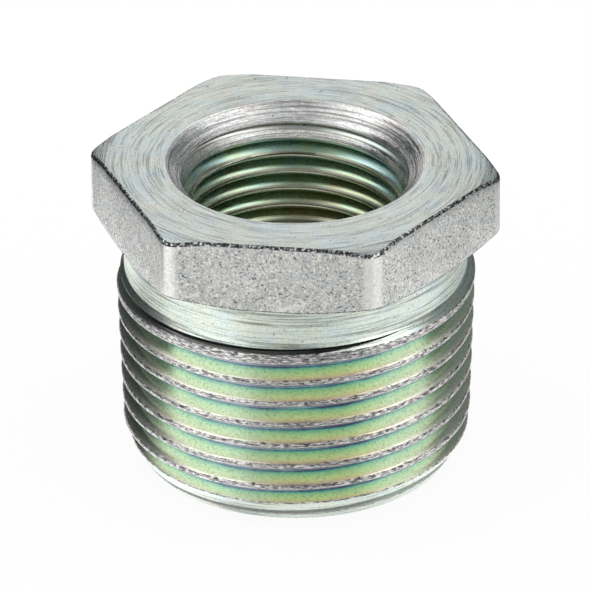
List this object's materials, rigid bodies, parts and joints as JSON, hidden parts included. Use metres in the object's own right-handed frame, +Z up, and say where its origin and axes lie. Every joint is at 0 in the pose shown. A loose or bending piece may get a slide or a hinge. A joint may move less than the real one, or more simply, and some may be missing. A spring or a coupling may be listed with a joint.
{
  "type": "hex bushing",
  "caption": "Steel reducing bushing with a hexagon head, a tapered male pipe thread outside and a tapered female pipe thread in its through bore.",
  "frame": {"origin": "centre of the small end's face, on the common axis of both threads", "axes": "+Z up the axis towards the hexagon head; a flat of the hexagon faces -Y and two corners lie on the X axis"},
  "size_m": [0.0308, 0.027, 0.024],
  "materials": {
    "zinc_plated_steel": "turned steel under bright zinc plating with a thin iridescent passivate"
  },
  "bodies": {
    "root": {"hex_bushing": "zinc_plated_steel"}
  },
  "joints": []
}
